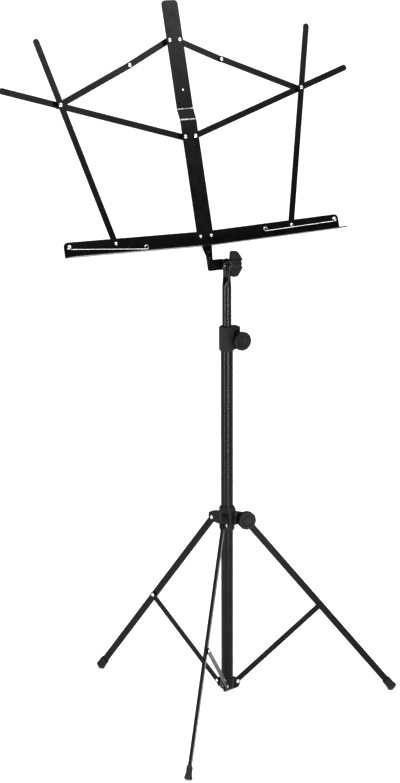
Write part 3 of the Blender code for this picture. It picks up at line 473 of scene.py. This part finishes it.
def painted_bend_highlight(name):
    """A painted highlight along a bend, in pale patches of bare-steel colour."""
    s = Shader(name)
    # Painted highlight: pale grey patches stand in for the light that the bend catches.
    bend_highlight_patches = s.spread(s.noise(260.0, 6.0), 0.15, 1.0, 0.36, 0.60)
    colour = s.mix(bend_highlight_patches, (0.02, 0.02, 0.02), (0.52, 0.52, 0.53))
    rough = s.spread(s.noise(500.0, 4.0), 0.30, 0.50)
    grain = s.bump(s.noise(1800.0), 0.1, 0.1 * MM)
    return s.finish(Base_Color=colour, Roughness=rough, Normal=grain)


def rubber(name):
    """Matt rubber, dusty where it meets the floor."""
    s = Shader(name)
    height = s.node("ShaderNodeSeparateXYZ", Vector=s.place).outputs["Z"]
    patches = s.spread(s.noise(300.0, 6.0), 0.0, 0.8, 0.4, 0.65)
    dust = s.product(s.spread(height, 1.0, 0.0, 0.0, 7 * MM), patches)
    clouds = s.noise(90.0, 5.0)
    colour = s.mix(s.spread(clouds, 0.0, 1.0), (0.006, 0.006, 0.006), (0.012, 0.0115, 0.0115))
    colour = s.mix(dust, colour, (0.07, 0.067, 0.062))
    grain = s.bump(s.noise(1100.0, 5.0), 0.3, 0.25 * MM)
    rough = s.spread(s.noise(200.0, 4.0), 0.62, 0.85)
    return s.finish(Base_Color=colour, Roughness=rough, Normal=grain, Specular_IOR_Level=0.25)


MATERIALS = {
    "black_paint": enamel("stoved_enamel", (0.20, 0.32)),
    "mast_paint": enamel("mast_enamel", (0.10, 0.20), scratches=0.03),
    "black_plastic": plastic("moulded_nylon"),
    "nickel": bright_metal("nickel_plate", (0.80, 0.79, 0.77), (0.42, 0.41, 0.38), (0.14, 0.34)),
    "wire_steel": bright_metal("drawn_wire", (0.92, 0.92, 0.91), (0.62, 0.61, 0.60), (0.26, 0.42)),
    "zinc": bright_metal("blackened_zinc", (0.085, 0.085, 0.09), (0.03, 0.03, 0.032), (0.20, 0.42)),
    "rubber": rubber("foot_rubber"),
}


# ---- CAD nodes that stay, with finer edges -------------------------------------------
# Edge radius in millimetres: moulded pieces, all others, and the nodes that differ from both.
MOULDED_EDGE = 0.6
PRESSED_EDGE = 0.35
EDGE_OF = {"wing_knob": 1.0, "clamp_collar": 0.8, "tilt_bracket": 0.6}


def dress_cad_nodes():
    """Every CAD node takes its slot's material and softened edges. Some are replaced later."""
    for node, obj in NODES.items():
        obj.data.materials.clear()
        obj.data.materials.append(MATERIALS[SLOT_OF[node]])
        custom = obj.data.attributes.get("custom_normal")
        if custom:
            obj.data.attributes.remove(custom)
        usual = MOULDED_EDGE if SLOT_OF[node] == "black_plastic" else PRESSED_EDGE
        width = EDGE_OF.get(node, usual)
        soften(obj, width * MM, 3 if width > 0.5 else 2)


# ---- Turned pieces ------------------------------------------------------------------
def profile_of(node, matrix):
    """The outline that a turned CAD node was spun from: its (radius, height) points in order."""
    bm = bmesh.new()
    bm.from_mesh(NODES[node].data)
    bmesh.ops.remove_doubles(bm, verts=bm.verts[:], dist=SAME_POINT)
    inverse = matrix.inverted()

    def key(vert):
        place = inverse @ vert.co
        return round(math.hypot(place.x, place.y) / PROFILE_GRID), round(place.z / PROFILE_GRID)

    beside = {}
    for edge in bm.edges:
        one, other = key(edge.verts[0]), key(edge.verts[1])
        if one != other:
            beside.setdefault(one, set()).add(other)
            beside.setdefault(other, set()).add(one)
    bm.free()
    ends = [point for point, near in beside.items() if len(near) == 1]
    closed = not ends
    start = max(ends or beside, key=lambda point: point[1])
    path = [start]
    seen = {start}
    while True:
        onward = [point for point in beside[path[-1]] if point not in seen]
        if not onward:
            break
        path.append(max(onward))
        seen.add(path[-1])
    return [(radius * PROFILE_GRID, height * PROFILE_GRID) for radius, height in path], closed


def turn_again(node, direction, steps=40, width=0.12 * MM):
    """The same turned piece, spun finer and with its edges rounded."""
    rough = frame_along(Vector((0, 0, 0)), direction)
    low, high = local_box(node, rough)
    matrix = rough @ Matrix.Translation(((low.x + high.x) / 2, (low.y + high.y) / 2, 0.0))
    profile, closed = profile_of(node, matrix)
    if not closed:
        profile = [(0.0, profile[0][1])] * (profile[0][0] > 0) + profile
        profile = profile + [(0.0, profile[-1][1])] * (profile[-1][0] > 0)
    piece = lathe("fine_" + node, profile, matrix, steps, closed)
    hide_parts(node)
    return settle(piece, node, MATERIALS[SLOT_OF[node]], width)


def build_rivets():
    for node in NODES:
        number = node[-1]
        if node.startswith(("leg_pin", "hub_rivet", "brace_rivet")):
            turn_again(node, ACROSS[int(number)])
        elif "rivet" in node:
            turn_again(node, DESK_NORMAL)


def build_turned_parts():
    turn_again("outer_tube", UP, 72, 0.3 * MM)
    turn_again("guide_bush", UP, 56, 0.3 * MM)
    turn_again("tilt_bolt", X, 48, 0.25 * MM)
    turn_again("tilt_washer", X, 56, 0.25 * MM)


# ---- Folded sheet ---------------------------------------------------------------------
def stand_for(piece, node, width):
    """A finer piece in the place of a CAD node, with the node's own finish."""
    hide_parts(node)
    return settle(piece, node, MATERIALS[SLOT_OF[node]], width)


def build_spine():
    """The centre strap: one strip with two soft bends, a round-cornered top and a narrow tongue."""
    low, high = local_box("spine", DESK)
    start = low.y - 5 * MM
    end = high.y + 5 * MM
    back = low.z + SPINE_SHEET / 2
    corners = [(start, 0.0), (JOGGLE_LOW, 0.0), (JOGGLE_HIGH, back), (end, back)]
    side = ribbon(filleted(corners, JOGGLE_BEND), SPINE_SHEET)
    strap = prism("spine_strap", side, -SPINE_HALF, SPINE_HALF, DESK @ SIDE_VIEW)
    wide = high.x
    top = high.y - SPINE_CORNER
    heel = low.y + TONGUE_TOE
    shape = arc((wide - SPINE_CORNER, top), SPINE_CORNER, 0.0, 90.0, 14)
    shape += arc((SPINE_CORNER - wide, top), SPINE_CORNER, 90.0, 180.0, 14)
    shape += [(-wide, -6 * MM), (-9.2 * MM, -15 * MM), (-8.2 * MM, -20 * MM)]
    shape += [(TONGUE_U - TONGUE_TOE, heel + 5 * MM)]
    shape += arc((TONGUE_U, heel), TONGUE_TOE, 180.0, 360.0, 18)
    shape += [(TONGUE_U + TONGUE_TOE, heel + 5 * MM)]
    shape += [(8.2 * MM, -22 * MM), (9.2 * MM, -15 * MM), (wide, -6 * MM)]
    combine(strap, prism("spine_shape", shape, -CUT_ABOVE, CUT_ABOVE, DESK), "INTERSECT")
    hole = arc(SPARE_HOLE, SPARE_HOLE_RADIUS, 0.0, 345.0, 24)
    combine(strap, prism("spare_hole", hole, -CUT_ABOVE, CUT_ABOVE, DESK), "DIFFERENCE")
    stand_for(strap, "spine", 0.3 * MM)
    paint_bend_highlights(strap)


def paint_bend_highlights(strap):
    """A painted highlight, in bare-metal patches, on the front faces of the strap's two bends."""
    strap.data.materials.append(painted_bend_highlight("painted_bend_highlight"))
    inverse = DESK.inverted()
    for polygon in strap.data.polygons:
        height = (inverse @ polygon.center).y
        facing = (inverse.to_3x3() @ polygon.normal).z
        away = min(abs(height - JOGGLE_LOW), abs(height - JOGGLE_HIGH))
        # Only faces turned to the front near a bend's middle take the painted highlight.
        if facing > 0.5 and away < BEND_HIGHLIGHT_REACH:
            polygon.material_index = 1


def build_tray(side, label):
    """One half of the tray: a plate folded forward into the shelf, with rounded outer corners."""
    node = f"tray_{label}"
    place = tray_frame(side, label)
    low, high = local_box(node, place)
    back = low.z + TRAY_SHEET / 2
    shelf = low.y + TRAY_SHEET / 2
    line = filleted([(high.y, back), (shelf, back), (shelf, high.z)], TRAY_BEND, 9)
    sheet = prism(f"folded_{node}", ribbon(line, TRAY_SHEET), low.x, high.x, place @ SIDE_VIEW)
    inner = -low.x
    crown = 180.0 - math.degrees(math.asin(high.y / inner))
    face = [(low.x, low.y - MM)]
    face += arc((0.0, 0.0), inner, 180.0, crown, 14)
    face += arc((high.x - TRAY_CORNER, high.y - TRAY_CORNER), TRAY_CORNER, 90.0, 0.0, 12)
    face += [(high.x, low.y - MM)]
    combine(sheet, prism("tray_face", face, -10 * MM, 60 * MM, place), "INTERSECT")
    plan = [(low.x, -5 * MM), (high.x, -5 * MM)]
    plan += arc((high.x - TRAY_CORNER, high.z - TRAY_CORNER), TRAY_CORNER, 0.0, 90.0, 12)
    plan += [(low.x + SHELF_CHAMFER, high.z), (low.x, high.z - SHELF_CHAMFER)]
    combine(sheet, prism("tray_plan", plan, -CUT_BELOW, CUT_ABOVE, place @ PLAN_VIEW), "INTERSECT")
    stand_for(sheet, node, 0.25 * MM)


def build_page_wire(side, label):
    """A drawn wire with an eye bent at each end, laid along the CAD wire."""
    node = f"page_wire_{label}"
    start = pivot(f"page_wire_turn_{label}")
    points = [vert.co for vert in NODES[node].data.vertices]
    reach = max((point - start).length for point in points)
    near = [point for point in points if (point - start).length < reach / 2]
    far = [point for point in points if (point - start).length > reach / 2]
    span = sum(far, Vector()) / len(far) - sum(near, Vector()) / len(near)
    along = span.normalized()
    height = (sum(points, Vector()) / len(points) - start).dot(DESK_NORMAL)
    place = axes_frame(start + DESK_NORMAL * height, along, DESK_NORMAL.cross(along), DESK_NORMAL)
    first = [(-x, -y * side) for x, y in arc((0.0, 0.0), WIRE_EYE, 200.0, -90.0, 37)]
    last = [(-x, -y * side) for x, y in arc((-span.length, 0.0), WIRE_EYE, -90.0, -380.0, 37)]
    route = [(x, y, 0.0) for x, y in first + last]
    stand_for(tube_along(f"fine_{node}", route, WIRE_RADIUS, place), node, 0.15 * MM)


# ---- Small moulded details ------------------------------------------------------------
def build_knob_caps():
    """A shallow dished cap pressed in the face of each hand knob."""
    for node, joint in (("clamp_knob", "clamp_knob_turn"), ("collar_knob", "collar_knob_turn")):
        out = axis(joint)
        place = frame_along(pivot(joint), out)
        low, high = local_box(node, place)
        face = high.z - CAP_DEPTH
        profile = [(radius * MM, face + height * MM) for radius, height in CAP_PROFILE]
        cap = lathe(f"{node}_cap", profile, place, 64)
        settle(cap, node, MATERIALS["black_plastic"], 0.2 * MM)


def build_collar_panels():
    """A raised pad over each leg's lug."""
    middle = pivot("desk_tilt")
    high = Vector(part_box("leg_collar")[1])
    for number, across in ACROSS.items():
        out = across.cross(UP)
        place = axes_frame(Vector((middle.x, middle.y, high.z)), across, UP, out)
        pad = [(-PAD_HALF, PAD_BOTTOM), (PAD_HALF, PAD_BOTTOM), (PAD_HALF, PAD_TOP - MM)]
        pad += [(PAD_HALF - MM, PAD_TOP), (MM - PAD_HALF, PAD_TOP), (-PAD_HALF, PAD_TOP - MM)]
        panel = prism(f"collar_pad_{number}", pad, *PAD_REACH, place)
        settle(panel, "leg_collar", MATERIALS["black_plastic"], 0.5 * MM, 3)


# ---- Floor, light and camera ----------------------------------------------------------
def build_floor():
    """A plain pale floor, so wide that its edge is far behind the stand."""
    bm = bmesh.new()
    bmesh.ops.create_grid(bm, x_segments=8, y_segments=8, size=FLOOR_HALF)
    floor = object_from_bmesh("floor", bm)
    s = Shader("pale_floor")
    tone = s.mix(s.noise(0.7, 3.0), (0.90, 0.90, 0.90), (0.93, 0.93, 0.93))
    rough = s.spread(s.noise(3.0, 3.0), 0.7, 0.8)
    floor.data.materials.append(s.finish(Base_Color=tone, Roughness=rough, Specular_IOR_Level=0.0))


def build_sky():
    """White to the camera. To everything else dim near the floor and bright overhead."""
    world = bpy.data.worlds.new("studio")
    world.use_nodes = True
    bpy.context.scene.world = world
    tree = world.node_tree
    sky = tree.nodes["Background"]
    sky.inputs["Color"].default_value = (1.0, 1.0, 1.0, 1.0)
    place = tree.nodes.new("ShaderNodeTexCoord")
    parts = tree.nodes.new("ShaderNodeSeparateXYZ")
    tree.links.new(place.outputs["Generated"], parts.inputs["Vector"])
    rise = tree.nodes.new("ShaderNodeMapRange")
    rise.interpolation_type = "SMOOTHSTEP"
    rise.inputs["From Min"].default_value = DIM_UP_TO
    rise.inputs["From Max"].default_value = FULL_FROM
    rise.inputs["To Min"].default_value = DIM_SKY
    rise.inputs["To Max"].default_value = CEILING
    tree.links.new(parts.outputs["Z"], rise.inputs["Value"])
    path = tree.nodes.new("ShaderNodeLightPath")
    seen = tree.nodes.new("ShaderNodeMath")
    seen.operation = "MAXIMUM"
    tree.links.new(rise.outputs["Result"], seen.inputs[0])
    tree.links.new(path.outputs["Is Camera Ray"], seen.inputs[1])
    tree.links.new(seen.outputs[0], sky.inputs["Strength"])


def build_soft_boxes():
    """Soft boxes around the stand, unseen by the camera, for the streaks along tubes and bars."""
    for name, turn, reach, wide, tall, watts, foot in STRIPS:
        light = bpy.data.lights.new(name, "AREA")
        light.shape = "RECTANGLE"
        light.size = wide
        light.size_y = tall
        light.energy = watts
        lamp = bpy.data.objects.new(name, light)
        lamp.visible_camera = False
        bpy.context.scene.collection.objects.link(lamp)
        angle = math.radians(turn)
        away = Vector((math.cos(angle), math.sin(angle), 0.0))
        middle = away * reach + UP * (tall / 2 + foot)
        lamp.matrix_world = axes_frame(middle, UP.cross(away), UP, away)


def build_camera():
    data = bpy.data.cameras.new("camera")
    data.sensor_fit = "VERTICAL"
    data.sensor_height = SENSOR_HEIGHT
    data.lens = CAMERA_LENS
    data.shift_x = CAMERA_SHIFT
    camera = bpy.data.objects.new("camera", data)
    camera.location = CAMERA_PLACE
    camera.rotation_euler = (math.pi / 2 - CAMERA_DOWN, 0.0, CAMERA_TURN)
    bpy.context.scene.collection.objects.link(camera)
    bpy.context.scene.camera = camera
    bpy.context.scene.view_settings.view_transform = "Standard"
    bpy.context.scene.view_settings.gamma = VIEW_GAMMA


# ---- Build -------------------------------------------------------------------------
dress_cad_nodes()
build_rivets()
build_turned_parts()
build_spine()
for side, label in SIDES:
    build_tray(side, label)
    build_page_wire(side, label)
build_knob_caps()
build_collar_panels()
build_floor()
build_sky()
build_soft_boxes()
build_camera()
